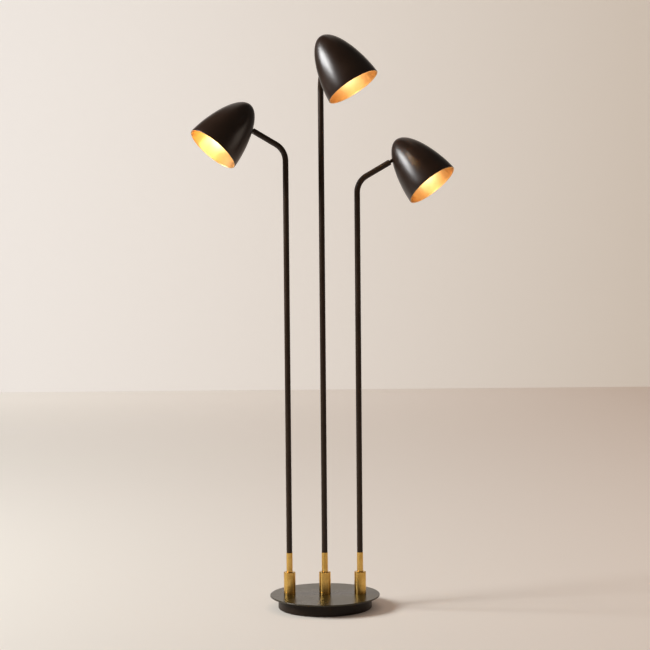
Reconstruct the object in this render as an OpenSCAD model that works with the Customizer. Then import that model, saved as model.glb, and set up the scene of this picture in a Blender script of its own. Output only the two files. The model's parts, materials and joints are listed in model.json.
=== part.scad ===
// Three-headed floor lamp: a round base, three bent poles that turn in brass
// sockets, and three bullet-shaped shades on swivelling ball joints.
// Origin: centre of the base on the floor. +Z up, +X along the row of poles,
// -Y towards the viewer. Millimetres and degrees.

/* [Base] */
// Diameter of the steel base plate
plate_d = 305; // [270:1:340]
// Thickness of the base plate
plate_t = 4; // [3:0.5:6]
// Diameter of the plinth under the plate
plinth_d = 260; // [244:1:268]
// Height of the plinth's top above the floor
plinth_h = 34; // [30:0.5:42]
// Thickness of the plinth's sheet
plinth_wall = 2; // [1.2:0.1:3]
// Height of the plinth's lower edge above the floor
plinth_lift = 1; // [0.6:0.1:1.6]
// Radius of the plinth's rolled lower edge
plinth_roll_r = 3; // [2.5:0.5:4]
// Height of the rubber foot ring
foot_h = 2.5; // [2.2:0.1:3.5]
// Width of the rubber foot ring
foot_w = 10; // [6:1:16]
// Inset of the foot ring from the edge of the bottom cover
foot_inset = 6; // [3:1:12]
// Thickness of the bottom cover
cover_t = 1.2; // [0.8:0.1:2]
// Thickness of the cast-iron weight
weight_t = 19; // [15:0.5:21]
// Gap between the weight and the plinth's wall
weight_gap = 2; // [1:0.5:4]

/* [Cover screws] */
// Number of cover screws
cover_screws_n = 4; // [3:1:6]
// Radius of the circle of cover screws
cover_screw_ring_r = 92; // [84:1:98]
// Diameter of a cover screw's thread
cover_screw_d = 4; // [3:0.5:5]
// Length of a cover screw below its head
cover_screw_l = 14; // [11:1:16]
// Height of a cover screw's head
cover_head_h = 1.6; // [1.2:0.1:1.8]
// Wall round each screw boss of the weight
boss_wall = 4; // [3:0.5:6]

/* [Cord inlet] */
// Diameter of the cord that the grommet takes
cord_d = 7; // [5:0.5:8]
// Wall of the grommet round the cord
grommet_wall = 1.5; // [1:0.1:1.8]
// Width of the grommet's flanges past its wall
grommet_flange = 2; // [1:0.1:2.4]
// Thickness of each grommet flange
grommet_flange_t = 2; // [1.5:0.1:3]
// Height of the cord inlet's axis above the floor
inlet_h = 11.5; // [11:0.5:13]
// Number of ways of the terminal block
terminal_ways = 3; // [2:1:4]
// Pitch of the terminal block's ways
terminal_pitch = 12; // [10:0.5:13]

/* [Poles] */
// Distance between neighbouring poles
pole_pitch = 98; // [85:1:104]
// Outer diameter of a pole tube
pole_d = 16; // [15:0.5:16.5]
// Wall thickness of a pole tube
pole_wall = 1.25; // [1:0.05:1.5]
// Height at which the left pole starts to bend
left_bend_h = 1240; // [1100:1:1350]
// Height at which the middle pole starts to bend
middle_bend_h = 1428; // [1300:1:1500]
// Height at which the right pole starts to bend
right_bend_h = 1152; // [1000:1:1250]
// Bend radius of a pole's centre line
bend_r = 52; // [45:1:70]
// Angle of the arm above the horizontal after the bend
arm_rise = 30; // [20:1:40]
// Straight length from the end of the bend to the ball joint's centre
arm_l = 72; // [60:1:90]

/* [Sockets and sleeves] */
// Diameter of a brass socket
socket_d = 32.5; // [29:0.5:36]
// Height of a brass socket
socket_h = 63; // [55:1:80]
// Thickness of a socket's floor
socket_floor = 12; // [9:0.5:16]
// Chamfer of a socket's top edge
socket_chamfer = 1.2; // [0.5:0.1:2]
// Height of the foot ring below a socket's groove
socket_foot_h = 6.5; // [4:0.5:9]
// Width and depth of the groove above the foot ring
socket_groove = 1; // [0.6:0.1:1.6]
// Outer diameter of a brass sleeve
sleeve_d = 17.2; // [17:0.1:18.2]
// Length of a sleeve above its socket
sleeve_show = 54; // [40:1:70]
// Outer diameter of the hollow threaded stems
stem_d = 10; // [9:0.5:11]
// Bore of the hollow threaded stems
stem_bore_d = 6.5; // [5:0.5:7]
// Width across the flats of a stem nut
stem_nut_af = 17; // [15:0.5:19]
// Thickness of a stem nut
stem_nut_t = 4; // [3:0.5:4.5]
// Diameter of a stem washer
stem_washer_d = 24; // [20:1:26]
// Thickness of a stem washer
stem_washer_t = 1.5; // [1:0.1:2]

/* [Stop screws] */
// Height of a stop screw above the base plate
stop_h = 26; // [20:1:34]
// Diameter of a stop screw
stop_d = 4; // [3:0.5:5]
// Diameter of a stop screw's tip, which runs in the sleeve's slot
stop_tip_d = 2.6; // [2:0.1:2.8]

/* [Turning range] */
// Furthest clockwise turn of the left pole, seen from above
left_turn_min = -45; // [-60:1:-10]
// Furthest anticlockwise turn of the left pole
left_turn_max = 30; // [10:1:40]
// Furthest clockwise turn of the middle pole
middle_turn_min = -15; // [-25:1:-5]
// Furthest anticlockwise turn of the middle pole
middle_turn_max = 45; // [10:1:60]
// Furthest clockwise turn of the right pole
right_turn_min = -45; // [-60:1:-10]
// Furthest anticlockwise turn of the right pole
right_turn_max = 45; // [10:1:60]

/* [Aim at rest] */
// Compass direction of the left arm, anticlockwise from +X
left_heading = 193; // [170:0.5:215]
// Compass direction of the middle arm
middle_heading = -82.5; // [-110:0.5:-60]
// Compass direction of the right arm
right_heading = 2; // [-25:0.5:25]
// Turn of the left seat about its arm
left_swivel = -50; // [-70:0.5:-30]
// Turn of the middle seat about its arm
middle_swivel = 32; // [10:0.5:50]
// Turn of the right seat about its arm
right_swivel = -81; // [-95:0.5:-60]
// Tilt of the left ball about its pins
left_tilt = -22; // [-30:0.5:0]
// Tilt of the middle ball about its pins
middle_tilt = 11; // [0:0.5:30]
// Tilt of the right ball about its pins
right_tilt = -14.5; // [-30:0.5:0]
// Turn of the left head on its stud, set at assembly
left_roll = 57; // [45:0.5:70]
// Turn of the middle head on its stud
middle_roll = -2; // [-15:0.5:15]
// Turn of the right head on its stud
right_roll = 62.5; // [50:0.5:75]

/* [Shade] */
// Diameter of a shade at its rim
shade_d = 151; // [140:1:165]
// Length of a shade from rim to crown
shade_l = 165; // [155:1:180]
// Exponent of the shade's curve: 2 is an ellipse, 1 a parabola
shade_curve = 1.5; // [1.4:0.05:1.7]
// Thickness of the spun sheet
shade_wall = 1.2; // [0.8:0.1:2]
// Diameter of the rolled hem inside the rim
hem_d = 2.4; // [2:0.1:3.2]
// Distance of the joint's stud below the crown
mount_drop = 43.5; // [39:0.5:50]

/* [Ball joint] */
// Distance from the ball's centre to the shade's outer wall, along the stud
wall_x = 11.7; // [11:0.1:14]
// Diameter of the ball
ball_d = 12.4; // [11.5:0.1:12.6]
// Length of the seat past the ball's centre
seat_lip = 2.4; // [2.2:0.1:2.8]
// Length of the seat's head behind the ball's centre
seat_back = 7.6; // [7.2:0.1:10]
// Length of the seat's spigot inside the tube
seat_spigot = 14; // [8:1:20]
// Diameter of the stud's neck
neck_d = 6.4; // [5.6:0.1:6.4]
// Bore of the stud for the wires
wire_bore_d = 3.6; // [3:0.1:4]
// Diameter of the trunnion pins of the ball
pin_d = 2; // [1.5:0.1:2.5]
// Depth of the trunnion pins in the ball
pin_depth = 2; // [1.5:0.1:2.4]
// Distance of the stud's collar from the ball's centre
collar_x = 6.4; // [6.2:0.1:7]
// Diameter of the stud's collar
collar_d = 9; // [8.6:0.1:9.4]
// Thickness of the stud's collar
collar_t = 1.6; // [1.2:0.1:2]
// Diameter of the stud's thread
stud_d = 8; // [7:0.5:8.5]
// Length of thread past the lock nut
stud_past = 1.5; // [0.5:0.5:4]
// Diameter of the outer saddle washer
outer_saddle_d = 10; // [9.5:0.1:10.6]
// Diameter of the inner saddle washer
inner_saddle_d = 14; // [12:0.5:16]
// Distance from the shade's outer wall to the inner saddle's flat face
saddle_depth = 8.3; // [7.5:0.1:11]
// Width across the flats of the lock nut
lock_nut_af = 13; // [12:0.5:14]
// Thickness of the lock nut
lock_nut_t = 5; // [4:0.5:6]

/* [Lamp holder and bulb] */
// Thickness of the holder bracket's strip
strip_t = 1.5; // [1:0.1:2]
// Width of the holder bracket's strip
strip_w = 18; // [16:1:20]
// Height of the bracket's upper leg above the stud's axis
strip_top = 9.3; // [8.6:0.1:10]
// Outer diameter of the lamp holder
holder_d = 34; // [31:0.5:38]
// Length of the lamp holder
holder_l = 42; // [36:1:46]
// Diameter of the bulb's screw cap
cap_d = 26; // [24:0.5:27]
// Length of the bulb's screw cap
cap_l = 24; // [20:1:28]
// Diameter of the holder's threaded nipple
nipple_d = 10; // [8:0.5:11]
// Thickness of the nipple's nut
nipple_nut_t = 3.5; // [2.5:0.5:5]
// Diameter of the globe bulb
bulb_d = 50; // [45:1:55]
// Length of the bulb's glass below the holder
bulb_l = 52; // [46:1:60]

/* [Fits] */
// Radial clearance of a turning fit
run_fit = 0.05; // [0.02:0.01:0.09]
// Radial clearance of a fixed fit
fixed_fit = 0.1; // [0.05:0.01:0.15]
// Clearance of a loose hole or an open edge
slack = 0.3; // [0.2:0.05:0.5]

/* [Hidden] */
$fn = 48;
SIDES = [0, 1, 2];
LEFT = SIDES[0];
MIDDLE = SIDES[1];
RIGHT = SIDES[2];

// Colours, as the photograph shows them
BRONZE = [0.36, 0.33, 0.30];
BLACK_BROWN = [0.10, 0.075, 0.06];
BRASS = [0.82, 0.64, 0.32];
STEEL = [0.62, 0.62, 0.62];
IRON = [0.25, 0.25, 0.26];
RUBBER = [0.08, 0.08, 0.08];
IVORY = [0.88, 0.85, 0.78];
WARM_GLASS = [1.0, 0.93, 0.78];

// The three lamps, in the order left, middle, right
bend_h = [left_bend_h, middle_bend_h, right_bend_h];
heading = [left_heading, middle_heading, right_heading];
swivel = [left_swivel, middle_swivel, right_swivel];
tilt = [left_tilt, middle_tilt, right_tilt];
roll = [left_roll, middle_roll, right_roll];
turn_min = [left_turn_min, middle_turn_min, right_turn_min];
turn_max = [left_turn_max, middle_turn_max, right_turn_max];

// How far a cut runs past the faces that it opens, and how far joined solids overlap
over = 1;
lap = 0.5;

// Heights in the base, from the floor up
plate_top = plinth_h + plate_t;
weight_top = plinth_h - plinth_wall;
weight_low = weight_top - weight_t;
cover_top = foot_h + cover_t;
plinth_r = plinth_d / 2;
cover_r = plinth_r - plinth_wall - slack;
weight_r = plinth_r - plinth_wall - weight_gap;
stem_hole_d = stem_d + 2 * fixed_fit;

// Pockets under the weight: washer and nut round each stem
pocket_gap = 2;
stem_past_nut = 1.5;
nut_pocket_d = stem_washer_d + 2 * pocket_gap;
nut_pocket_h = stem_washer_t + stem_nut_t + stem_past_nut + pocket_gap;
pocket_top = weight_low + nut_pocket_h;
nut_top = pocket_top - stem_washer_t;
stem_low = nut_top - stem_nut_t - stem_past_nut;
socket_top = plate_top + socket_h;
bore_floor = plate_top + socket_floor;
end_gap = 0.5;
tube_foot = bore_floor + end_gap;

// Cord inlet and wiring space
grommet_d = cord_d + 2 * grommet_wall;
grommet_flange_d = grommet_d + 2 * grommet_flange;
inlet_bore_d = cord_d + slack;
inner_flange_y = sqrt(pow(plinth_r - plinth_wall, 2) - pow(grommet_flange_d / 2, 2)) - fixed_fit;
outer_flange_y = plinth_r + fixed_fit;
notch_margin = 4;
notch_w = grommet_flange_d + 2 * notch_margin;
notch_d = 26;
channel_w = 14;
terminal_end = 2;
terminal_w = terminal_ways * terminal_pitch + 2 * terminal_end;
terminal_depth = 18;
terminal_h = 11;
terminal_gap = 22;
terminal_y = stem_washer_d / 2 + terminal_gap + terminal_depth / 2;
recess_margin = 3;
recess_head = 6;
recess_top = cover_top + terminal_h + recess_head;

// Sleeve slot in which a stop screw's tip runs
stop_z = plate_top + stop_h;
stop_tip_r = pole_d / 2 + fixed_fit;
sleeve_bore_r = pole_d / 2 + run_fit;
stop_half_angle = asin((stop_tip_d / 2 + slack) / sleeve_bore_r);
slot_h = stop_tip_d + 2 * slack;

// Bore of a pole, and the small step at the end of its bend
pole_bore_d = pole_d - 2 * pole_wall;
tip_step = 0.05;

// Shade and joint, in the frame of a head: the ball's centre is the origin,
// +X runs along the stud into the shade and +Z runs up the shade's axis
function shade_r(h, wall = 0) =
    (shade_d / 2 - wall) * sqrt(1 - pow(h / (shade_l - wall), shade_curve));
function shade_slope(h, wall = 0) =
    atan(shade_r(h - 0.5, wall) - shade_r(h + 0.5, wall));
mount_h = shade_l - mount_drop;
mount_out = wall_x + shade_r(mount_h);
inner_wall_x = mount_out - shade_r(mount_h, shade_wall);
saddle_face_x = wall_x + saddle_depth;
outer_slope = shade_slope(mount_h);
inner_slope = shade_slope(mount_h, shade_wall);
collar_face_x = collar_x + collar_t;
inner_r = shade_r(mount_h, shade_wall);
inner_sag = inner_r - sqrt(pow(inner_r, 2) - pow(inner_saddle_d / 2, 2)) + fixed_fit;
stud_hole_d = stud_d + 2 * fixed_fit;
strip_face_x = saddle_face_x + strip_t;
stud_end_x = strip_face_x + lock_nut_t + stud_past;
holder_top = strip_top;
holder_low = holder_top - holder_l;
shade_steps = 26;

// Lamp holder and bulb
holder_bore_d = cap_d + 2 * slack;
holder_step = 2.5;
holder_neck_l = 14.7;
nipple_past_nut = 1.5;
bulb_r = bulb_d / 2;
bulb_neck_r = cap_d / 2 - 0.6;
bulb_neck_l = 3;
glass_t = 1.5;
globe_z = holder_low - bulb_l + bulb_r;

// ---------- frames ----------

module at_pole(i) {
    translate([(i - MIDDLE) * pole_pitch, 0, 0]) children();
}

// Frame of an arm's end: origin at the ball's centre, +X along the arm
module at_joint(i) {
    reach = bend_r * (1 - sin(arm_rise)) + arm_l * cos(arm_rise);
    rise = bend_r * cos(arm_rise) + arm_l * sin(arm_rise);
    at_pole(i)
        rotate([0, 0, heading[i]])
            translate([reach, 0, bend_h[i] + rise])
                rotate([0, -arm_rise, 0]) children();
}

module at_seat(i) {
    at_joint(i) rotate([swivel[i], 0, 0]) children();
}

module at_head(i) {
    at_seat(i) rotate([0, tilt[i], 0]) rotate([roll[i], 0, 0]) children();
}

module at_shade_axis() {
    translate([mount_out, 0, 0]) children();
}

module along_x(from, to) {
    translate([from, 0, 0]) rotate([0, 90, 0]) linear_extrude(to - from) children();
}

module rod_x(d, from, to) {
    translate([from, 0, 0]) rotate([0, 90, 0]) cylinder(d = d, h = to - from);
}

module hexagon(af) {
    circle(d = af / cos(30), $fn = 6);
}

// ---------- base ----------

module stem_holes(from, to) {
    for (i = SIDES) at_pole(i)
        translate([0, 0, from]) cylinder(d = stem_hole_d, h = to - from);
}

module base_plate() {
    edge = 0.8;
    r = plate_d / 2;
    color(BRONZE) difference() {
        rotate_extrude($fn = 96) polygon([
            [0, plinth_h], [r - edge, plinth_h], [r, plinth_h + edge],
            [r, plate_top - edge], [r - edge, plate_top], [0, plate_top]
        ]);
        stem_holes(plinth_h - over, plate_top + over);
    }
}

// Spun pan, open below, whose lower edge is rolled in
module base_plinth() {
    top_r = 2;
    arc = [for (a = [0 : 15 : 90]) a];
    outer = [
        for (a = arc) [plinth_r - top_r + top_r * cos(90 - a), plinth_h - top_r + top_r * sin(90 - a)],
        for (a = arc) [plinth_r - plinth_roll_r + plinth_roll_r * cos(a),
                       plinth_lift + plinth_roll_r - plinth_roll_r * sin(a)]
    ];
    inner_roll = plinth_roll_r - plinth_wall;
    inner = [
        for (a = [90 : -15 : 0]) [plinth_r - plinth_roll_r + inner_roll * cos(a),
                                  plinth_lift + plinth_roll_r - inner_roll * sin(a)],
        [plinth_r - plinth_wall, weight_top]
    ];
    color(BRONZE) difference() {
        rotate_extrude($fn = 96)
            polygon(concat([[0, plinth_h]], outer, inner, [[0, weight_top]]));
        stem_holes(weight_top - over, plinth_h + over);
        translate([0, plinth_r - plinth_wall * 2, inlet_h]) rotate([-90, 0, 0])
            cylinder(d = grommet_d + 2 * fixed_fit, h = plinth_wall * 4);
    }
}

module at_cover_screws() {
    for (k = [0 : cover_screws_n - 1])
        rotate([0, 0, 45 + k * 360 / cover_screws_n])
            translate([cover_screw_ring_r, 0, 0]) children();
}

// Cast-iron disc with screw bosses, nut pockets and a channel for the wires
module base_weight() {
    boss_d = cover_screw_d + 2 * boss_wall;
    screw_hole_d = cover_screw_d + 2 * fixed_fit;
    color(IRON) difference() {
        union() {
            translate([0, 0, weight_low]) cylinder(r = weight_r, h = weight_t, $fn = 96);
            at_cover_screws() translate([0, 0, cover_top])
                cylinder(d = boss_d, h = weight_low - cover_top + over);
        }
        stem_holes(weight_low - over, weight_top + over);
        for (i = SIDES) at_pole(i) translate([0, 0, weight_low - over])
            cylinder(d = nut_pocket_d, h = nut_pocket_h + over);
        at_cover_screws() translate([0, 0, cover_top - over])
            cylinder(d = screw_hole_d, h = cover_screw_l + over, $fn = 24);
        translate([-terminal_w / 2 - recess_margin, terminal_y - terminal_depth / 2 - recess_margin,
                   weight_low - over])
            cube([terminal_w + 2 * recess_margin, terminal_depth + 2 * recess_margin,
                  recess_top - weight_low + over]);
        translate([-notch_w / 2, weight_r - notch_d, weight_low - over])
            cube([notch_w, notch_d + over, weight_t + 2 * over]);
        translate([-channel_w / 2, 0, weight_low - over])
            cube([channel_w, weight_r - notch_d + over, nut_pocket_h + over]);
        translate([-pole_pitch, -channel_w / 2, weight_low - over])
            cube([2 * pole_pitch, channel_w, nut_pocket_h + over]);
    }
}

module bottom_cover() {
    color(IRON) difference() {
        translate([0, 0, foot_h]) cylinder(r = cover_r - plinth_roll_r, h = cover_t, $fn = 96);
        at_cover_screws() translate([0, 0, foot_h - over])
            cylinder(d = cover_screw_d + 2 * slack, h = cover_t + 2 * over, $fn = 24);
    }
}

module cover_screws() {
    head_d = cover_screw_d * 2;
    head_taper = 0.6;
    key_af = cover_screw_d * 0.6;
    key_depth = cover_head_h / 2;
    color(STEEL) at_cover_screws() difference() {
        union() {
            translate([0, 0, foot_h - cover_head_h])
                cylinder(d1 = head_d - 2 * head_taper, d2 = head_d, h = cover_head_h, $fn = 24);
            translate([0, 0, foot_h - lap])
                cylinder(d = cover_screw_d, h = cover_screw_l + lap, $fn = 24);
        }
        translate([0, 0, foot_h - cover_head_h - over])
            linear_extrude(key_depth + over) hexagon(key_af);
    }
}

module foot_ring() {
    outer = cover_r - plinth_roll_r - foot_inset;
    edge = 0.6;
    color(RUBBER) rotate_extrude($fn = 96) polygon([
        [outer - foot_w, foot_h], [outer - foot_w, edge], [outer - foot_w + edge, 0],
        [outer - edge, 0], [outer, edge], [outer, foot_h]
    ]);
}

// Rubber bush with two flanges that grip the plinth's wall
module cord_grommet() {
    low = inner_flange_y - grommet_flange_t;
    high = outer_flange_y + grommet_flange_t;
    taper = 0.8;
    color(RUBBER) translate([0, 0, inlet_h]) rotate([-90, 0, 0]) difference() {
        union() {
            translate([0, 0, low]) cylinder(d = grommet_d, h = high - low);
            translate([0, 0, low]) cylinder(d = grommet_flange_d, h = grommet_flange_t);
            translate([0, 0, outer_flange_y])
                cylinder(d1 = grommet_flange_d, d2 = grommet_flange_d - 2 * taper, h = grommet_flange_t);
        }
        translate([0, 0, low - over]) cylinder(d = inlet_bore_d, h = high - low + 2 * over);
    }
}

module at_terminals() {
    for (k = [0 : terminal_ways - 1])
        translate([(k - (terminal_ways - 1) / 2) * terminal_pitch, 0, 0]) children();
}

// Strip of ways: each has two screw towers and a hole for the wires right through
module terminal_block() {
    way_w = terminal_pitch * 0.7;
    way_h = terminal_h * 0.75;
    tower_d = terminal_pitch * 0.6;
    screw_hole_d = tower_d * 0.6;
    wire_hole_d = tower_d * 0.5;
    wire_z = 5.5;
    foot_t = 4;
    color(IVORY) translate([0, terminal_y, cover_top]) difference() {
        union() {
            translate([-terminal_w / 2, -terminal_depth / 2, 0])
                cube([terminal_w, terminal_depth, foot_t]);
            at_terminals() {
                translate([-way_w / 2, -terminal_depth / 2, 0]) cube([way_w, terminal_depth, way_h]);
                for (s = [-1, 1]) translate([0, s * terminal_depth / 4, 0])
                    cylinder(d = tower_d, h = terminal_h, $fn = 24);
            }
        }
        at_terminals() {
            for (s = [-1, 1]) translate([0, s * terminal_depth / 4, wire_z])
                cylinder(d = screw_hole_d, h = terminal_h, $fn = 24);
            translate([0, -terminal_depth / 2 - over, wire_z]) rotate([-90, 0, 0])
                cylinder(d = wire_hole_d, h = terminal_depth + 2 * over, $fn = 24);
        }
    }
}

// ---------- sockets, stems and stops ----------

// Turned brass cup: foot ring, groove, straight body and chamfered mouth
module socket(i) {
    r = socket_d / 2;
    groove_low = plate_top + socket_foot_h;
    bore_d = sleeve_d + 2 * run_fit;
    color(BRASS) at_pole(i) difference() {
        rotate_extrude() polygon([
            [0, plate_top], [r, plate_top], [r, groove_low],
            [r - socket_groove, groove_low], [r - socket_groove, groove_low + socket_groove],
            [r, groove_low + socket_groove], [r, socket_top - socket_chamfer],
            [r - socket_chamfer, socket_top], [0, socket_top]
        ]);
        translate([0, 0, bore_floor]) cylinder(d = bore_d, h = socket_h);
        translate([0, 0, plate_top - over]) cylinder(d = stem_hole_d, h = socket_floor + 2 * over);
        translate([0, 0, stop_z]) rotate([-90, 0, 0])
            cylinder(d = stop_d + 2 * fixed_fit, h = socket_d, $fn = 24);
    }
}

module stems() {
    color(STEEL) for (i = SIDES) at_pole(i) translate([0, 0, stem_low]) difference() {
        cylinder(d = stem_d, h = bore_floor - stem_low);
        translate([0, 0, -over]) cylinder(d = stem_bore_d, h = bore_floor - stem_low + 2 * over);
    }
}

module stem_nuts() {
    color(STEEL) for (i = SIDES) at_pole(i) {
        translate([0, 0, nut_top]) difference() {
            cylinder(d = stem_washer_d, h = stem_washer_t);
            translate([0, 0, -over]) cylinder(d = stem_hole_d, h = stem_washer_t + 2 * over);
        }
        translate([0, 0, nut_top - stem_nut_t]) difference() {
            linear_extrude(stem_nut_t) hexagon(stem_nut_af);
            translate([0, 0, -over]) cylinder(d = stem_hole_d, h = stem_nut_t + 2 * over);
        }
    }
}

// Grub screws at the rear, flush with the sockets
module stop_screws() {
    head = socket_d / 2 - 0.6;
    shank = sleeve_d / 2 + 0.8;
    key_af = stop_d / 2;
    key_depth = 2;
    color(STEEL) for (i = SIDES) at_pole(i) translate([0, 0, stop_z]) rotate([-90, 0, 0])
        difference() {
            union() {
                translate([0, 0, shank]) cylinder(d = stop_d, h = head - shank, $fn = 24);
                translate([0, 0, stop_tip_r])
                    cylinder(d = stop_tip_d, h = head - stop_tip_r, $fn = 24);
            }
            translate([0, 0, head - key_depth]) linear_extrude(key_depth + over) hexagon(key_af);
        }
}

// ---------- poles ----------

// Brass tube round the pole's foot, with the slot that limits the pole's turn
module sleeve(i) {
    top = socket_top + sleeve_show;
    edge = 0.4;
    r = sleeve_d / 2;
    bore_r = sleeve_bore_r;
    first = 90 - turn_max[i] - stop_half_angle;
    sweep = turn_max[i] - turn_min[i] + 2 * stop_half_angle;
    color(BRASS) at_pole(i) difference() {
        rotate_extrude() polygon([
            [bore_r, tube_foot], [r, tube_foot], [r, top - edge], [r - edge, top], [bore_r, top]
        ]);
        rotate([0, 0, first]) rotate_extrude(angle = sweep)
            translate([bore_r - over, stop_z - slot_h / 2]) square([r - bore_r + 2 * over, slot_h]);
    }
}

// A pole's centre line as a solid rod of diameter d: straight, bent over by 90 - arm_rise
// and straight again. The last length is a hair thinner, so that it meets the bend on a plane.
module bent_rod(i, d, past = 0) {
    bend_angle = 90 - arm_rise;
    tip_l = arm_l - seat_back - fixed_fit;
    rotate([0, 0, 180]) {
        translate([0, 0, tube_foot - past]) cylinder(d = d, h = bend_h[i] - tube_foot + past);
        translate([-bend_r, 0, bend_h[i]]) {
            rotate([90, 0, 0]) rotate_extrude(angle = bend_angle, $fn = 96)
                translate([bend_r, 0]) circle(d = d);
            rotate([0, -bend_angle, 0]) translate([bend_r, 0, -lap])
                cylinder(d = d - 2 * tip_step, h = lap + tip_l + past);
        }
    }
}

module pole(i) {
    color(BLACK_BROWN) at_pole(i) rotate([0, 0, heading[i]]) difference() {
        bent_rod(i, pole_d);
        bent_rod(i, pole_bore_d, past = over);
    }
}

// ---------- ball joint ----------

// Turned end cap: its spigot turns in the tube, its lip holds the ball
module seat(i) {
    spigot_d = pole_bore_d - 2 * tip_step - 2 * run_fit;
    seat_bore_d = wire_bore_d * 1.8;
    edge = 0.4;
    r = pole_d / 2;
    color(BLACK_BROWN) at_seat(i) difference() {
        rotate([0, 90, 0]) rotate_extrude() polygon([
            [0, -seat_back - seat_spigot], [spigot_d / 2 - edge, -seat_back - seat_spigot],
            [spigot_d / 2, -seat_back - seat_spigot + edge], [spigot_d / 2, -seat_back],
            [r, -seat_back], [r, seat_lip - edge], [r - edge, seat_lip], [0, seat_lip]
        ]);
        sphere(d = ball_d + 2 * run_fit);
        rod_x(seat_bore_d, -seat_back - seat_spigot - over, -ball_d / 4);
        rotate([90, 0, 0])
            cylinder(d = pin_d + 2 * fixed_fit, h = pole_d + 2 * over, center = true, $fn = 24);
    }
}

// Two short pins through the seat's walls, on which the ball tilts
module seat_pins(i) {
    inner = ball_d / 2 - pin_depth;
    outer = pole_d / 2 - 0.1;
    color(STEEL) at_seat(i) for (s = [-1, 1])
        rotate([-90 * s, 0, 0]) translate([0, 0, inner]) cylinder(d = pin_d, h = outer - inner, $fn = 24);
}

// Ball, neck, collar and hollow thread in one turned piece
module ball_stud(i) {
    color(BLACK_BROWN) at_head(i) difference() {
        union() {
            sphere(d = ball_d);
            rod_x(neck_d, 0, collar_x + lap);
            rod_x(collar_d, collar_x, collar_face_x);
            rod_x(stud_d, collar_face_x - lap, stud_end_x);
        }
        rod_x(wire_bore_d, -ball_d, stud_end_x + over);
        rotate([-roll[i], 0, 0]) for (s = [-1, 1]) rotate([-90 * s, 0, 0])
            translate([0, 0, ball_d / 2 - pin_depth - slack])
                cylinder(d = pin_d + 2 * run_fit, h = ball_d, $fn = 24);
    }
}

// Half space on the arm's side of the shade's wall, tilted as the wall is
module before_wall(x, slope) {
    size = shade_d / 2;
    translate([x, 0, 0]) rotate([0, slope, 0])
        translate([-size, -size / 2, -size / 2]) cube(size);
}

// Wedge washer between the stud's collar and the shade
module outer_saddle(i) {
    color(BLACK_BROWN) at_head(i) difference() {
        intersection() {
            rod_x(outer_saddle_d, collar_face_x, wall_x + outer_saddle_d);
            before_wall(wall_x - fixed_fit / 2, outer_slope);
        }
        rod_x(stud_hole_d, 0, wall_x + outer_saddle_d);
    }
}

// Wedge washer between the shade and the holder bracket
module inner_saddle(i) {
    color(STEEL) at_head(i) difference() {
        rod_x(inner_saddle_d, inner_wall_x - inner_saddle_d, saddle_face_x);
        before_wall(inner_wall_x + inner_sag / cos(inner_slope), inner_slope);
        rod_x(stud_hole_d, 0, saddle_face_x + over);
    }
}

module head_nuts(i) {
    nipple_nut_af = nipple_d * 1.5;
    color(STEEL) at_head(i) {
        difference() {
            along_x(strip_face_x, strip_face_x + lock_nut_t) rotate([0, 0, 30]) hexagon(lock_nut_af);
            rod_x(stud_hole_d, 0, stud_end_x);
        }
        at_shade_axis() translate([0, 0, strip_top + strip_t]) difference() {
            linear_extrude(nipple_nut_t) hexagon(nipple_nut_af);
            translate([0, 0, -over])
                cylinder(d = nipple_d + 2 * fixed_fit, h = nipple_nut_t + 2 * over);
        }
    }
}

// ---------- shade, lamp holder and bulb ----------

// Points of the shade's curve from rim to crown, evenly spread over the dome
function shade_curve_points(wall) = [
    for (k = [0 : shade_steps])
        let (left = 1 - k / shade_steps, h = (shade_l - wall) * (1 - left * left))
            [shade_r(h, wall), h]
];

function reversed(list) = [for (k = [len(list) - 1 : -1 : 0]) list[k]];

module shade(i) {
    hem_r = hem_d / 2;
    color(BLACK_BROWN) at_head(i) difference() {
        at_shade_axis() translate([0, 0, -mount_h]) rotate_extrude($fn = 72) {
            polygon(concat(shade_curve_points(0), reversed(shade_curve_points(shade_wall))));
            translate([shade_d / 2 - hem_r, hem_r]) circle(r = hem_r, $fn = 16);
        }
        rod_x(stud_hole_d, 0, inner_wall_x + stud_d);
    }
}

// L-shaped strip: one leg on the stud, one leg over the lamp holder
module bracket(i) {
    tail = strip_w / 2;
    reach = mount_out - saddle_face_x;
    color(STEEL) at_head(i) difference() {
        union() {
            translate([saddle_face_x, -strip_w / 2, -tail])
                cube([strip_t, strip_w, strip_top + strip_t + tail]);
            translate([saddle_face_x, -strip_w / 2, strip_top]) cube([reach, strip_w, strip_t]);
            at_shade_axis() translate([0, 0, strip_top]) cylinder(d = strip_w, h = strip_t);
        }
        rod_x(stud_hole_d, 0, strip_face_x + over);
        at_shade_axis() translate([0, 0, strip_top - over])
            cylinder(d = nipple_d + 2 * fixed_fit, h = strip_t + 2 * over);
    }
}

// Moulded lamp holder with its threaded nipple
module holder(i) {
    nipple_top = holder_top + strip_t + nipple_nut_t + nipple_past_nut;
    edge = 1;
    r = holder_d / 2;
    neck_r = r - holder_step;
    shoulder_z = holder_top - holder_neck_l;
    wire_hole_d = nipple_d * 0.6;
    color(IVORY) at_head(i) at_shade_axis() difference() {
        rotate_extrude() polygon([
            [0, holder_low], [r - edge, holder_low], [r, holder_low + edge], [r, shoulder_z - edge],
            [r - edge, shoulder_z], [neck_r, shoulder_z], [neck_r, holder_top - edge],
            [neck_r - edge, holder_top], [nipple_d / 2, holder_top], [nipple_d / 2, nipple_top],
            [0, nipple_top]
        ]);
        translate([0, 0, holder_low - over]) cylinder(d = holder_bore_d, h = cap_l + slack + over);
        translate([0, 0, holder_low]) cylinder(d = wire_hole_d, h = nipple_top - holder_low + over);
    }
}

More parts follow.
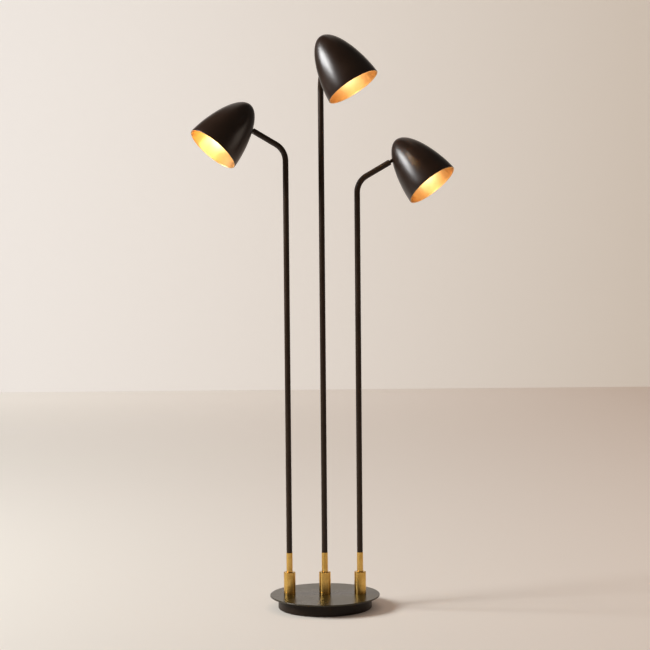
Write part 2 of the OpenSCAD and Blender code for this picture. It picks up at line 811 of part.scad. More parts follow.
// Screw cap of the bulb: rings for the thread, and the centre contact
module bulb_cap(i) {
    rings = 5;
    skirt = 1.5;
    cone_l = 3;
    contact_h = 1;
    contact_r = cap_d * 0.2;
    thread_depth = 0.9;
    cap_wall = 2.2;
    ring_h = (cap_l - cone_l - 2 * skirt) / rings;
    r = cap_d / 2;
    root = r - thread_depth;
    threads = [for (k = [0 : rings - 1])
        each [[root, skirt + (k + 0.5) * ring_h], [r, skirt + (k + 1) * ring_h]]];
    color(BRASS) at_head(i) at_shade_axis() translate([0, 0, holder_low]) difference() {
        rotate_extrude() polygon(concat(
            [[0, 0], [r, 0], [r, skirt]],
            threads,
            [[root, cap_l - cone_l], [contact_r, cap_l - contact_h], [contact_r, cap_l], [0, cap_l]]
        ));
        translate([0, 0, -over]) cylinder(r = root - cap_wall, h = cap_l - cone_l);
    }
}

// Hollow glass globe, which runs through a cone into the neck that the cap closes
module bulb(i) {
    cone_r = bulb_neck_r + 2;
    join = asin(cone_r / bulb_r);
    globe = [for (a = [0 : 6 : 180 - join]) [bulb_r * sin(a), globe_z - bulb_r * cos(a)]];
    neck = [[bulb_neck_r, holder_low - bulb_neck_l], [bulb_neck_r, holder_low], [0, holder_low]];
    color(WARM_GLASS) at_head(i) at_shade_axis() difference() {
        rotate_extrude() polygon(concat(globe, neck));
        translate([0, 0, globe_z]) sphere(r = bulb_r - glass_t);
    }
}

base_plate();
base_plinth();
base_weight();
bottom_cover();
cover_screws();
foot_ring();
cord_grommet();
terminal_block();
stems();
stem_nuts();
stop_screws();
socket(LEFT);  // left_socket
sleeve(LEFT);  // left_sleeve
pole(LEFT);  // left_pole
seat(LEFT);  // left_seat
seat_pins(LEFT);  // left_seat_pins
ball_stud(LEFT);  // left_ball_stud
outer_saddle(LEFT);  // left_outer_saddle
shade(LEFT);  // left_shade
inner_saddle(LEFT);  // left_inner_saddle
bracket(LEFT);  // left_bracket
head_nuts(LEFT);  // left_head_nuts
holder(LEFT);  // left_holder
bulb_cap(LEFT);  // left_bulb_cap
bulb(LEFT);  // left_bulb
socket(MIDDLE);  // middle_socket
sleeve(MIDDLE);  // middle_sleeve
pole(MIDDLE);  // middle_pole
seat(MIDDLE);  // middle_seat
seat_pins(MIDDLE);  // middle_seat_pins
ball_stud(MIDDLE);  // middle_ball_stud
outer_saddle(MIDDLE);  // middle_outer_saddle
shade(MIDDLE);  // middle_shade
inner_saddle(MIDDLE);  // middle_inner_saddle
bracket(MIDDLE);  // middle_bracket
head_nuts(MIDDLE);  // middle_head_nuts
holder(MIDDLE);  // middle_holder
bulb_cap(MIDDLE);  // middle_bulb_cap
bulb(MIDDLE);  // middle_bulb
socket(RIGHT);  // right_socket
sleeve(RIGHT);  // right_sleeve
pole(RIGHT);  // right_pole
seat(RIGHT);  // right_seat
seat_pins(RIGHT);  // right_seat_pins
ball_stud(RIGHT);  // right_ball_stud
outer_saddle(RIGHT);  // right_outer_saddle
shade(RIGHT);  // right_shade
inner_saddle(RIGHT);  // right_inner_saddle
bracket(RIGHT);  // right_bracket
head_nuts(RIGHT);  // right_head_nuts
holder(RIGHT);  // right_holder
bulb_cap(RIGHT);  // right_bulb_cap
bulb(RIGHT);  // right_bulb
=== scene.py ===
"""Looks of a three-headed floor lamp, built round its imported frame. Metres, +Z up, -Y to the front."""

import json
import math

import bmesh
import bpy
from mathutils import Matrix, Vector


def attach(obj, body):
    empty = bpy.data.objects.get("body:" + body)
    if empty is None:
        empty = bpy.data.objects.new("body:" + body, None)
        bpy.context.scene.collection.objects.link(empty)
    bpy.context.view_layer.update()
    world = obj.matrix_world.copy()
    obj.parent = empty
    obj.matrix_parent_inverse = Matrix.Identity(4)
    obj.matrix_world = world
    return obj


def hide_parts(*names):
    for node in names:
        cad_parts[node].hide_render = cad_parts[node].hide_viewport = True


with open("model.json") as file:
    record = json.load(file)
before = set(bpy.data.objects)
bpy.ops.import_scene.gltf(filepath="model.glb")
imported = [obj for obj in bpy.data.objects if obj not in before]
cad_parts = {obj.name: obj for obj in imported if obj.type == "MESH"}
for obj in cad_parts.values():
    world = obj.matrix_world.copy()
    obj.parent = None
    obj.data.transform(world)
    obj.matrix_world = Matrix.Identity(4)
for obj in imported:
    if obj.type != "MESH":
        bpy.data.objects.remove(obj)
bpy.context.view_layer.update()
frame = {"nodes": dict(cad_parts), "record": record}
nodes = frame["nodes"]
slot_of = {entry["node"]: entry["material_slot"] for entry in frame["record"]["subparts"]}
body_of = {
    node: body for body, members in frame["record"]["behaviour"]["bodies"].items() for node in members
}
SIDES = ("left", "middle", "right")
MM = 0.001

# ---------- sizes that the shades and bulbs share with the frame; turns are in degrees ----------

POLE_PITCH = 98 * MM
BEND_R = 52 * MM
ARM_RISE = 30
ARM_L = 72 * MM
BEND_H = {"left": 1240 * MM, "middle": 1428 * MM, "right": 1152 * MM}
HEADING = {"left": 193, "middle": -82.5, "right": 2}
SWIVEL = {"left": -50, "middle": 32, "right": -81}
TILT = {"left": -22, "middle": 11, "right": -14.5}
ROLL = {"left": 57, "middle": -2, "right": 62.5}
SHADE_R = 75.5 * MM
SHADE_L = 165 * MM
SHADE_CURVE = 1.5
SHADE_WALL = 1.2 * MM
HEM_R = 1.2 * MM
MOUNT_H = 121.5 * MM  # from the rim up to the stud
WALL_X = 11.7 * MM  # from the ball's centre to the wall, along the stud
HOLDER_TOP = 9.3 * MM  # above the stud
HOLDER_L = 42 * MM
HOLDER_LOW = HOLDER_TOP - HOLDER_L
BULB_R = 25 * MM
BULB_L = 52 * MM
BULB_NECK_R = 12.4 * MM


def turn(degrees, axis):
    return Matrix.Rotation(math.radians(degrees), 4, axis)


def head_frame(side):
    """Ball's centre as origin, +X along the stud into the shade, +Z up the shade's axis."""
    rise = math.radians(ARM_RISE)
    reach = BEND_R * (1 - math.sin(rise)) + ARM_L * math.cos(rise)
    height = BEND_H[side] + BEND_R * math.cos(rise) + ARM_L * math.sin(rise)
    pole_x = (SIDES.index(side) - 1) * POLE_PITCH
    return (
        Matrix.Translation((pole_x, 0, 0))
        @ turn(HEADING[side], "Z")
        @ Matrix.Translation((reach, 0, height))
        @ turn(-ARM_RISE, "Y")
        @ turn(SWIVEL[side], "X")
        @ turn(TILT[side], "Y")
        @ turn(ROLL[side], "X")
    )


# ---------- camera, fitted to the photograph ----------

PICTURE_PX = 650
FOCAL_PX = 1814.6
SENSOR_MM = 36
CAMERA_PLACE = Vector((6.49 * MM, -5.0, 1.0777))
CAMERA_DOWN = 3.318  # degrees
CAMERA_ROLL = -0.507  # degrees
CAMERA_REACH = 100


def aim_camera():
    """The photograph's viewpoint: 5 m in front, at about two thirds of the lamp's height."""
    pitch = math.radians(CAMERA_DOWN)
    roll = math.radians(CAMERA_ROLL)
    forward = Vector((0, math.cos(pitch), -math.sin(pitch)))
    side = Vector((1, 0, 0))
    level_up = side.cross(forward)
    right = side * math.cos(roll) + level_up * math.sin(roll)
    up = level_up * math.cos(roll) - side * math.sin(roll)
    lens = bpy.data.cameras.new("camera")
    lens.sensor_width = SENSOR_MM
    lens.lens = FOCAL_PX / PICTURE_PX * SENSOR_MM
    lens.clip_end = CAMERA_REACH
    camera = bpy.data.objects.new("camera", lens)
    camera.matrix_world = Matrix(
        (
            (right.x, up.x, -forward.x, CAMERA_PLACE.x),
            (right.y, up.y, -forward.y, CAMERA_PLACE.y),
            (right.z, up.z, -forward.z, CAMERA_PLACE.z),
            (0, 0, 0, 1),
        )
    )
    bpy.context.scene.collection.objects.link(camera)
    bpy.context.scene.camera = camera


aim_camera()

# ---------- nodes that materials and groups share ----------


def is_output(value):
    return hasattr(value, "is_output")


def give(tree, socket, value):
    """Links another node's output to a socket, or sets a plain value on it."""
    if is_output(value):
        tree.links.new(value, socket)
    else:
        socket.default_value = value


def noise(tree, vector, scale, detail, roughness=0.5):
    node = tree.nodes.new("ShaderNodeTexNoise")
    given = {"Vector": vector, "Scale": scale, "Detail": detail, "Roughness": roughness}
    for label, value in given.items():
        give(tree, node.inputs[label], value)
    return node.outputs["Fac"]


def spread(tree, value, low, high, to_low=0.0, to_high=1.0, ends="SMOOTHSTEP"):
    """Maps low..high to to_low..to_high and holds beyond; LINEAR ends make it a straight line."""
    node = tree.nodes.new("ShaderNodeMapRange")
    node.interpolation_type = ends
    given = {"Value": value, "From Min": low, "From Max": high, "To Min": to_low, "To Max": to_high}
    for label, number in given.items():
        give(tree, node.inputs[label], number)
    return node.outputs["Result"]


def maths(tree, operation, *values):
    node = tree.nodes.new("ShaderNodeMath")
    node.operation = operation
    for socket, value in zip(node.inputs, values):
        give(tree, socket, value)
    return node.outputs["Value"]


def mixed(tree, share, first, second):
    """The first colour where share is 0, running to the second where it is 1."""
    node = tree.nodes.new("ShaderNodeMix")
    node.data_type = "RGBA"
    tree.links.new(share, node.inputs["Factor"])
    sockets = [socket for socket in node.inputs if socket.type == "RGBA"]
    for socket, colour in zip(sockets, (first, second)):
        give(tree, socket, colour if is_output(colour) else (*colour, 1))
    return next(socket for socket in node.outputs if socket.type == "RGBA")


# ---------- surface effects that several finishes share ----------


def new_group(name, inputs, outputs):
    """A group whose inputs are numbers with a default, or vectors where the default is None."""
    group = bpy.data.node_groups.new(name, "ShaderNodeTree")
    for label, default in inputs:
        kind = "NodeSocketVector" if default is None else "NodeSocketFloat"
        socket = group.interface.new_socket(name=label, in_out="INPUT", socket_type=kind)
        if default is not None:
            socket.default_value = default
    for label in outputs:
        group.interface.new_socket(name=label, in_out="OUTPUT", socket_type="NodeSocketFloat")
    return group, group.nodes.new("NodeGroupInput"), group.nodes.new("NodeGroupOutput")


def make_handling():
    """Faint cloudy marks where hands and cloths have been, and fine dust."""
    specks_to_a_mark = 60
    group, given, put = new_group(
        "handling", [("Vector", None), ("Scale", 12.0), ("Amount", 1.0)], ["Marks", "Dust"]
    )
    vector, scale, amount = (given.outputs[label] for label in ("Vector", "Scale", "Amount"))
    clouds = noise(group, vector, scale, detail=5, roughness=0.62)
    marks = spread(group, clouds, low=0.38, high=0.68)
    group.links.new(maths(group, "MULTIPLY", marks, amount), put.inputs["Marks"])
    fine_scale = maths(group, "MULTIPLY", scale, specks_to_a_mark)
    specks = spread(group, noise(group, vector, fine_scale, detail=2), low=0.66, high=0.8)
    group.links.new(maths(group, "MULTIPLY", specks, amount), put.inputs["Dust"])
    return group


def make_skin():
    """Height of a sprayed or cast skin: a soft ripple with a fine tooth on it."""
    teeth_to_a_ripple = 5
    group, given, put = new_group(
        "skin", [("Vector", None), ("Scale", 400.0), ("Tooth", 0.35)], ["Height"]
    )
    vector, scale, depth = (given.outputs[label] for label in ("Vector", "Scale", "Tooth"))
    ripple = noise(group, vector, scale, detail=1.5)
    fine_scale = maths(group, "MULTIPLY", scale, teeth_to_a_ripple)
    tooth = maths(group, "MULTIPLY", noise(group, vector, fine_scale, detail=2), depth)
    group.links.new(maths(group, "ADD", ripple, tooth), put.inputs["Height"])
    return group


def make_brushing():
    """Fine parallel lines, left by a belt or a lathe, for a vector squeezed across them."""
    group, given, put = new_group("brushing", [("Vector", None), ("Scale", 60.0)], ["Lines"])
    streaks = noise(group, given.outputs["Vector"], given.outputs["Scale"], detail=6, roughness=0.7)
    group.links.new(spread(group, streaks, low=0.3, high=0.7), put.inputs["Lines"])
    return group


HANDLING = make_handling()
SKIN = make_skin()
BRUSHING = make_brushing()


class Finish:
    """A node material with one Principled shader and the helpers that build onto it."""

    def __init__(self, name, **constants):
        self.material = bpy.data.materials.new(name)
        self.material.use_nodes = True
        self.tree = self.material.node_tree
        self.shader = self.tree.nodes["Principled BSDF"]
        for label, value in constants.items():
            self.shader.inputs[label.replace("_", " ")].default_value = value
        self.place = self.tree.nodes.new("ShaderNodeTexCoord").outputs["Object"]

    def feed(self, label, output):
        self.tree.links.new(output, self.shader.inputs[label])

    def use(self, group, vector=None, **values):
        """Places a shared group, on the piece's own coordinates unless another vector is given."""
        node = self.tree.nodes.new("ShaderNodeGroup")
        node.node_tree = group
        self.tree.links.new(vector or self.place, node.inputs["Vector"])
        for label, value in values.items():
            node.inputs[label].default_value = value
        return node.outputs

    def squeezed(self, scale):
        mapping = self.tree.nodes.new("ShaderNodeMapping")
        mapping.inputs["Scale"].default_value = scale
        self.tree.links.new(self.place, mapping.inputs["Vector"])
        return mapping.outputs["Vector"]

    def marked(self, low, high, scale, amount=1.0, dust=None):
        """Colours the surface in two close tones by its handling marks, with dust if it has a colour."""
        handling = self.use(HANDLING, Scale=scale, Amount=amount)
        tone = mixed(self.tree, handling["Marks"], low, high)
        if dust:
            tone = mixed(self.tree, handling["Dust"], tone, dust)
        self.feed("Base Color", tone)
        return handling["Marks"]

    def rough(self, mask, low, high):
        self.feed("Roughness", spread(self.tree, mask, 0, 1, low, high))

    def bump(self, height, strength, depth):
        node = self.tree.nodes.new("ShaderNodeBump")
        node.inputs["Strength"].default_value = strength
        node.inputs["Distance"].default_value = depth
        self.tree.links.new(height, node.inputs["Height"])
        self.feed("Normal", node.outputs["Normal"])

    def skinned(self, scale, strength, depth, tooth=0.35):
        self.bump(self.use(SKIN, Scale=scale, Tooth=tooth)["Height"], strength, depth)


def srgb(red, green, blue):
    """Screen levels of 0 to 255 as the linear colour that a shader takes."""

    def linear(level):
        level /= 255
        return level / 12.92 if level <= 0.04045 else ((level + 0.055) / 1.055) ** 2.4

    return linear(red), linear(green), linear(blue)


# ---------- finishes ----------


def sprayed_enamel(name, low, high, dust, rough, **constants):
    """Two close tones, fine dust and a faint ripple."""
    finish = Finish(name, Metallic=0.0, **constants)
    finish.rough(finish.marked(low, high, scale=14.0, dust=dust), *rough)
    finish.skinned(scale=520.0, strength=0.08, depth=0.2 * MM, tooth=0.25)
    return finish.material


def black_brown_enamel():
    return sprayed_enamel(
        "black_brown_enamel", low=srgb(37, 21, 11), high=srgb(43, 26, 15), dust=srgb(50, 36, 27),
        rough=(0.29, 0.33), IOR=1.55,
    )


def tube_enamel():
    """A little lighter than the shades, in a flatter coat."""
    return sprayed_enamel(
        "tube_enamel", low=srgb(45, 29, 15), high=srgb(51, 34, 19), dust=srgb(60, 46, 34),
        rough=(0.36, 0.42), IOR=1.47, Specular_IOR_Level=0.33,
    )


# Painted shade: a darker, less glossy copy of the base plate's enamel, for the plinth in the plate's
# shade
def plinth_enamel_painted_shade():
    return sprayed_enamel(
        "plinth_enamel_painted_shade", low=srgb(34, 22, 12), high=srgb(40, 27, 16), dust=srgb(54, 44, 35),
        rough=(0.38, 0.45), IOR=1.47, Specular_IOR_Level=0.22,
    )


def gold_lacquer():
    finish = Finish("gold_lacquer", Metallic=1.0, Coat_Weight=0.4, Coat_Roughness=0.28)
    marks = finish.marked(srgb(238, 204, 146), srgb(230, 192, 130), scale=18.0)
    finish.rough(marks, 0.31, 0.37)
    finish.skinned(scale=420.0, strength=0.15, depth=0.2 * MM, tooth=0.3)
    return finish.material


def bronze_enamel():
    finish = Finish("bronze_enamel", Metallic=0.0, IOR=1.52)
    marks = finish.marked(srgb(46, 36, 10), srgb(54, 43, 14), scale=9.0, dust=srgb(70, 60, 44))
    finish.rough(marks, 0.27, 0.31)
    finish.skinned(scale=480.0, strength=0.06, depth=0.2 * MM, tooth=0.3)
    return finish.material


def polished_brass():
    """Turned and polished: fine level rings, in the gloss and in the surface."""
    rings = (1, 1, 45)
    finish = Finish("polished_brass", Metallic=1.0, Anisotropic=0.85, Anisotropic_Rotation=0.25)
    marks = finish.marked(srgb(224, 184, 104), srgb(214, 171, 88), scale=40.0)
    lines = finish.use(BRUSHING, finish.squeezed(rings), Scale=55.0)["Lines"]
    finish.rough(maths(finish.tree, "MULTIPLY_ADD", lines, 0.5, marks), 0.17, 0.24)
    finish.bump(lines, strength=0.05, depth=0.1 * MM)
    return finish.material


def zinc_steel():
    finish = Finish("zinc_steel", Metallic=1.0)
    marks = finish.marked(srgb(196, 196, 194), srgb(172, 172, 168), scale=60.0)
    finish.rough(marks, 0.28, 0.42)
    finish.skinned(scale=900.0, strength=0.1, depth=0.1 * MM)
    return finish.material


def cast_iron():
    finish = Finish("cast_iron", Metallic=0.4)
    marks = finish.marked(srgb(64, 64, 66), srgb(82, 76, 72), scale=16.0)
    finish.rough(marks, 0.62, 0.8)
    finish.skinned(scale=260.0, strength=0.6, depth=0.6 * MM, tooth=0.7)
    return finish.material


def black_cover_enamel():
    finish = Finish("black_cover_enamel", Metallic=0.0)
    marks = finish.marked(srgb(38, 34, 32), srgb(50, 46, 43), scale=10.0)
    finish.rough(marks, 0.42, 0.55)
    finish.skinned(scale=380.0, strength=0.25, depth=0.3 * MM, tooth=0.5)
    return finish.material


def rubber():
    finish = Finish("rubber", Metallic=0.0)
    marks = finish.marked(srgb(30, 30, 30), srgb(42, 41, 40), scale=30.0, dust=srgb(80, 78, 74))
    finish.rough(marks, 0.68, 0.85)
    finish.skinned(scale=700.0, strength=0.3, depth=0.2 * MM, tooth=0.6)
    return finish.material


def ivory_moulding():
    finish = Finish("ivory_moulding", Metallic=0.0, IOR=1.5)
    marks = finish.marked(srgb(232, 226, 210), srgb(220, 212, 192), scale=25.0)
    finish.rough(marks, 0.28, 0.4)
    finish.skinned(scale=500.0, strength=0.08, depth=0.2 * MM)
    return finish.material


def lit_glass():
    """Frosted glass of a warm bulb that is lit, a touch dimmer where it has been handled."""
    clean_light = (1.0, 0.91, 0.82)
    marked_light = (1.0, 0.88, 0.78)
    finish = Finish("lit_glass", Metallic=0.0, Emission_Strength=13.5)
    marks = finish.marked(srgb(250, 238, 212), srgb(244, 226, 190), scale=30.0, amount=0.6)
    finish.feed("Emission Color", mixed(finish.tree, marks, clean_light, marked_light))
    finish.rough(marks, 0.3, 0.4)
    return finish.material


GOLD = gold_lacquer()
TUBE = tube_enamel()
OF_SLOT = {
    "bronze_enamel": bronze_enamel(),
    "dark_enamel": black_brown_enamel(),
    "polished_brass": polished_brass(),
    "cast_iron": cast_iron(),
    "zinc_steel": zinc_steel(),
    "rubber": rubber(),
    "ivory_plastic": ivory_moulding(),
    "warm_glass": lit_glass(),
}
# Nodes whose finish isn't the plain one of their slot
# The plinth's finish is painted shade
OF_NODE = {"bottom_cover": black_cover_enamel(), "base_plinth": plinth_enamel_painted_shade()}
for side in SIDES:
    for part in ("pole", "seat", "ball_stud", "outer_saddle"):
        OF_NODE[f"{side}_{part}"] = TUBE

for node, slot in slot_of.items():
    mesh = nodes[node].data
    mesh.materials.clear()
    mesh.materials.append(OF_NODE.get(node, OF_SLOT[slot]))
    mesh.shade_smooth()

# ---------- pieces ----------

SEAM_WELD = 1e-7
FACET_WELD = 2e-6  # joins the loose triangles of a frame node
FLAT_WITHIN = 0.6  # degrees
EDGE_OVER = 32  # degrees
EASE_STEPS = 2
SMOOTH_UNDER = 35  # degrees
ROUND_SMOOTH_UNDER = 60  # degrees

SHADE_ROWS = 44
SHADE_STEPS = 96
HEM_TURN = 270  # degrees
HEM_ROWS = 12
OUTER_FROM = 1.05 * HEM_R
INNER_FROM = 2.1 * HEM_R
GOLD_FROM = 0.6 * HEM_R
HEM_GOLD_TO = 2.2 * HEM_R
HEM_GOLD_R = SHADE_R - 0.55 * HEM_R

GLOBE_TURN = 142  # degrees
GLOBE_ROWS = 32
GLOBE_STEPS = 64
NECK_ROWS = 8
NECK_GAP = 0.5 * MM

# Widths of the eased edges, in millimetres
LAMP_EASES = {
    "socket": 0.25, "sleeve": 0.12, "pole": 0.15, "seat": 0.2,
    "ball_stud": 0.15, "bracket": 0.25, "head_nuts": 0.3, "holder": 0.3,
}
BASE_EASES = {
    "base_plate": 0.3, "base_plinth": 0.3, "cover_screws": 0.15, "foot_ring": 0.2, "cord_grommet": 0.3,
}


def finished(bm, name, body, materials, replaced, place=None, smooth_under=SMOOTH_UNDER):
    """Turns a bmesh into a piece at the origin, with its place in its mesh."""
    bmesh.ops.remove_doubles(bm, verts=bm.verts, dist=SEAM_WELD)
    bmesh.ops.recalc_face_normals(bm, faces=bm.faces)
    if place is not None:
        bmesh.ops.transform(bm, matrix=place, verts=bm.verts)
    mesh = bpy.data.meshes.new(name)
    bm.to_mesh(mesh)
    bm.free()
    for material in materials:
        mesh.materials.append(material)
    mesh.shade_smooth()
    mesh.set_sharp_from_angle(angle=math.radians(smooth_under))
    piece = bpy.data.objects.new(name, mesh)
    bpy.context.scene.collection.objects.link(piece)
    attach(piece, body)
    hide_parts(replaced)
    return piece


def softened(node, body, width):
    """A copy of a rigid node with its flat faces whole and its edges eased."""
    source = nodes[node].data
    bm = bmesh.new()
    bm.from_mesh(source)
    bmesh.ops.remove_doubles(bm, verts=bm.verts, dist=FACET_WELD)
    bmesh.ops.dissolve_limit(
        bm, angle_limit=math.radians(FLAT_WITHIN), verts=bm.verts, edges=bm.edges
    )
    sharp = [
        edge for edge in bm.edges
        if len(edge.link_faces) == 2 and edge.calc_face_angle() > math.radians(EDGE_OVER)
    ]
    bmesh.ops.bevel(
        bm, geom=sharp, offset=width, offset_type="OFFSET", segments=EASE_STEPS, profile=0.5,
        affect="EDGES", material=-1, clamp_overlap=True,
    )
    piece = finished(bm, "eased_" + node, body, [source.materials[0]], node)
    even = piece.modifiers.new("even_shading", "WEIGHTED_NORMAL")
    even.keep_sharp = True


def shade_radius(height, wall=0.0):
    """Radius of the shade's outer face, or of its inner one: upright at the rim and round at the tip."""
    share = min(1.0, max(0.0, height / (SHADE_L - wall)))
    return (SHADE_R - wall) * math.sqrt(max(0.0, 1 - share**SHADE_CURVE))


def wall_line(wall=0.0):
    """Points of (radius, height) up a face of the shade, closer together towards its tip."""
    line = []
    for k in range(SHADE_ROWS + 1):
        height = (SHADE_L - wall) * (1 - (1 - k / SHADE_ROWS) ** 2)
        line.append((shade_radius(height, wall), height))
    return line


def hem_line():
    """Points of the rolled hem, from its outermost one round below and up inside to its top."""
    line = [(SHADE_R, HEM_R)]
    for k in range(1, HEM_ROWS + 1):
        angle = math.radians(-k * HEM_TURN / HEM_ROWS)
        line.append((SHADE_R - HEM_R + HEM_R * math.cos(angle), HEM_R + HEM_R * math.sin(angle)))
    return line


def is_gold(centre):
    """Whether a face with this centre is inside the shade, or on the hem but not on its outer side."""
    radius = math.hypot(centre.x, centre.y)
    inside = radius < shade_radius(centre.z) - SHADE_WALL / 2 and centre.z > GOLD_FROM
    on_hem = radius < HEM_GOLD_R and centre.z < HEM_GOLD_TO
    return inside or on_hem


def spun(points, steps):
    """A closed bmesh of revolution about Z through a line of (radius, height) points."""
    bm = bmesh.new()
    line = [bm.verts.new((max(radius, 0.0), 0, height)) for radius, height in points]
    for low, high in zip(line, line[1:]):
        bm.edges.new((low, high))
    bmesh.ops.spin(
        bm, geom=bm.verts[:] + bm.edges[:], cent=(0, 0, 0), axis=(0, 0, 1),
        angle=math.tau, steps=steps, use_merge=True,
    )
    return bm


def on_shade_axis(side, height):
    """Frame on the axis of a head's shade, at a height above its stud."""
    axis_x = WALL_X + shade_radius(MOUNT_H)
    return head_frame(side) @ Matrix.Translation((axis_x, 0, height))


def make_shade(side):
    """Spun cup with a hem rolled inwards: black-brown outside, gold inside and round the hem."""
    outer = [point for point in wall_line() if point[1] > OUTER_FROM]
    inner = [point for point in wall_line(SHADE_WALL) if point[1] > INNER_FROM]
    bm = spun(outer[::-1] + hem_line() + inner, SHADE_STEPS)
    for face in bm.faces:
        face.material_index = 1 if is_gold(face.calc_center_median()) else 0
    finished(
        bm, side + "_spun_shade", side + "_head", [OF_SLOT["dark_enamel"], GOLD],
        side + "_shade", on_shade_axis(side, -MOUNT_H), ROUND_SMOOTH_UNDER,
    )


def make_bulb(side):
    """Small frosted globe: round below, drawn in to a neck that ends just under the holder."""
    globe_z = HOLDER_LOW - BULB_L + BULB_R
    neck_z = HOLDER_LOW - NECK_GAP
    line = [(0.0, globe_z - BULB_R)]
    for k in range(1, GLOBE_ROWS + 1):
        angle = math.radians(GLOBE_TURN * k / GLOBE_ROWS)
        line.append((BULB_R * math.sin(angle), globe_z - BULB_R * math.cos(angle)))
    leave_r, leave_z = line[-1]
    for k in range(1, NECK_ROWS + 1):
        share = k / NECK_ROWS
        radius = leave_r + (BULB_NECK_R - leave_r) * (1 - (1 - share) ** 2)
        line.append((radius, leave_z + (neck_z - leave_z) * share))
    line.append((0.0, neck_z))
    finished(
        spun(line, GLOBE_STEPS), side + "_globe", side + "_head",
        [OF_SLOT["warm_glass"]], side + "_bulb", on_shade_axis(side, 0), ROUND_SMOOTH_UNDER,
    )


for side in SIDES:
    make_shade(side)
    make_bulb(side)
    for part, width in LAMP_EASES.items():
        softened(f"{side}_{part}", body_of[f"{side}_{part}"], width * MM)
for part, width in BASE_EASES.items():
    softened(part, "base", width * MM)

# ---------- room ----------

ROOM_HALF = 14
WALL_Y = 6.5
FLOOR_COLOUR = (0.69, 0.667, 0.615)
WALL_COLOUR = (0.55, 0.53, 0.50)

# Painted light that the eye sees on top of the light that falls on the paint: left tone, right tone
NEAR_PAINTED_LIGHT = ((0.0, 0.0, 0.0), (0.34, 0.23, 0.17))
FAR_PAINTED_LIGHT = ((0.65, 0.59, 0.53), (0.37, 0.27, 0.21))
WALL_PAINTED_LIGHT = ((0.65, 0.60, 0.56), (0.44, 0.36, 0.29))
# Painted contact shade: no painted light within a ring round the lamp's base
PAINTED_CONTACT_SHADE = (0.0, 0.0, 0.0)
BESIDE_SHEET_PAINTED_LIGHT = (0.05, 0.045, 0.04)

# Where each blend starts and ends
LEFT_TO_RIGHT_X = (-2.0, 2.0)
NEAR_TO_FAR_Y = (-1.0, 6.0)
SHEET_ENDS_X = (2.3, 2.9)
CONTACT_SHADE_R = (0.11, 0.17)
BY_WINDOWS_X = (-2.9, -1.9)
BY_WINDOWS_SHARE = 0.42


def across(tree, value, span, first, second):
    """Straight-line blend of two colours as value runs over a span."""
    return mixed(tree, spread(tree, value, *span, ends="LINEAR"), first, second)


def seen_directly(tree):
    """1 where the camera sees the surface, straight, mirrored or through glass; 0 for its light."""
    path = tree.nodes.new("ShaderNodeLightPath").outputs
    mirrored = maths(tree, "ADD", path["Is Glossy Ray"], path["Is Transmission Ray"])
    seen = maths(tree, "ADD", path["Is Camera Ray"], mirrored)
    return maths(tree, "MINIMUM", seen, 1.0)


def room_paint(name):
    """Matt paint, with the X and Y of the place on it."""
    finish = Finish(name, Roughness=1.0, Metallic=0.0, Specular_IOR_Level=0.0)
    parts = finish.tree.nodes.new("ShaderNodeSeparateXYZ")
    finish.tree.links.new(finish.place, parts.inputs["Vector"])
    return finish, parts.outputs["X"], parts.outputs["Y"]


def show_painted_light(finish, tone):
    """Adds painted light: a tone that shows to the eye and lights nothing."""
    finish.feed("Emission Color", tone)
    finish.feed("Emission Strength", seen_directly(finish.tree))


def floor_paint():
    """Pale floor with painted light at each corner, fading into painted contact shade under the lamp.

    Close to the windows the paint is darker, so that it doesn't burn out.
    """
    finish, x, y = room_paint("floor_paint")
    tree = finish.tree
    by_windows = tuple(BY_WINDOWS_SHARE * level for level in FLOOR_COLOUR)
    finish.feed("Base Color", across(tree, x, BY_WINDOWS_X, by_windows, FLOOR_COLOUR))
    near = across(tree, x, LEFT_TO_RIGHT_X, *NEAR_PAINTED_LIGHT)
    far = across(tree, x, LEFT_TO_RIGHT_X, *FAR_PAINTED_LIGHT)
    tone = across(tree, y, NEAR_TO_FAR_Y, near, far)
    away = tree.nodes.new("ShaderNodeVectorMath")
    away.operation = "LENGTH"
    tree.links.new(finish.place, away.inputs[0])
    # Painted contact shade: the painted light fades out in a ring round the base
    show_painted_light(finish, across(tree, away.outputs["Value"], CONTACT_SHADE_R, PAINTED_CONTACT_SHADE, tone))
    return finish.material


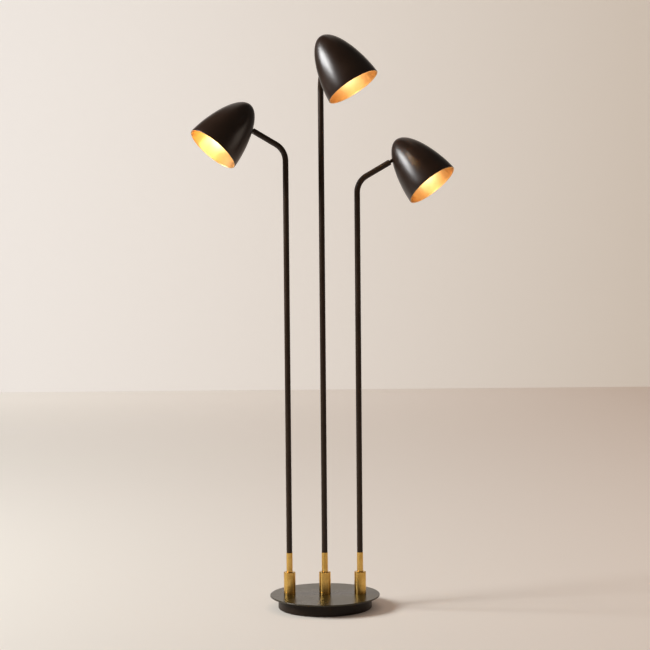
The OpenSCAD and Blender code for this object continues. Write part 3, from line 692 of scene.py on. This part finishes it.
def wall_paint():
    """Pale sheet behind the lamp, whose painted light ends at its sides."""
    finish, x, _ = room_paint("wall_paint")
    finish.shader.inputs["Base Color"].default_value = (*WALL_COLOUR, 1)
    tone = across(finish.tree, x, LEFT_TO_RIGHT_X, *WALL_PAINTED_LIGHT)
    aside = maths(finish.tree, "ABSOLUTE", x)
    show_painted_light(finish, across(finish.tree, aside, SHEET_ENDS_X, tone, BESIDE_SHEET_PAINTED_LIGHT))
    return finish.material


def stage_plane(name, material, place):
    mesh = bpy.data.meshes.new(name)
    bm = bmesh.new()
    bmesh.ops.create_grid(bm, x_segments=1, y_segments=1, size=ROOM_HALF)
    bmesh.ops.transform(bm, verts=bm.verts, matrix=place)
    bm.to_mesh(mesh)
    bm.free()
    mesh.materials.append(material)
    plane = bpy.data.objects.new(name, mesh)
    bpy.context.scene.collection.objects.link(plane)


stage_plane("floor", floor_paint(), Matrix())
stage_plane("wall", wall_paint(), Matrix.Translation((0, WALL_Y, ROOM_HALF)) @ turn(90, "X"))

# ---------- light ----------

SKY_COLOUR = (1.0, 0.78, 0.62)
SKY_LIGHT = 0.04
SKY_SEEN = 0.12


def make_sky():
    """A dim warm world that lights the lamp a little and looks brighter than its light."""
    world = bpy.data.worlds.new("world")
    bpy.context.scene.world = world
    world.use_nodes = True
    tree = world.node_tree
    background = tree.nodes["Background"]
    background.inputs["Color"].default_value = (*SKY_COLOUR, 1)
    strength = maths(tree, "MULTIPLY_ADD", seen_directly(tree), SKY_SEEN - SKY_LIGHT, SKY_LIGHT)
    tree.links.new(strength, background.inputs["Strength"])


def make_softbox(name, size, place, target, watts, colour=(1, 1, 1)):
    light = bpy.data.lights.new(name, "AREA")
    light.shape = "RECTANGLE"
    light.size, light.size_y = size
    light.energy = watts
    light.color = colour
    lamp = bpy.data.objects.new(name, light)
    lamp.location = place
    lamp.rotation_euler = (Vector(target) - Vector(place)).to_track_quat("-Z", "Y").to_euler()
    bpy.context.scene.collection.objects.link(lamp)


make_sky()
make_softbox("window", size=(1.2, 1.7), place=(-4.3, -1.3, 3.1), target=(0, 0, 0.7), watts=180)
make_softbox("side_window", size=(1.3, 1.8), place=(-4.62, 0.1, 3.1), target=(0, 0, 0.9), watts=175)
make_softbox(
    "right_bounce", size=(1.6, 1.6), place=(3.5, -0.6, 1.7), target=(0, 0, 1.2), watts=7.5,
    colour=(1.0, 0.84, 0.7),
)

bpy.context.scene.view_settings.view_transform = "Standard"
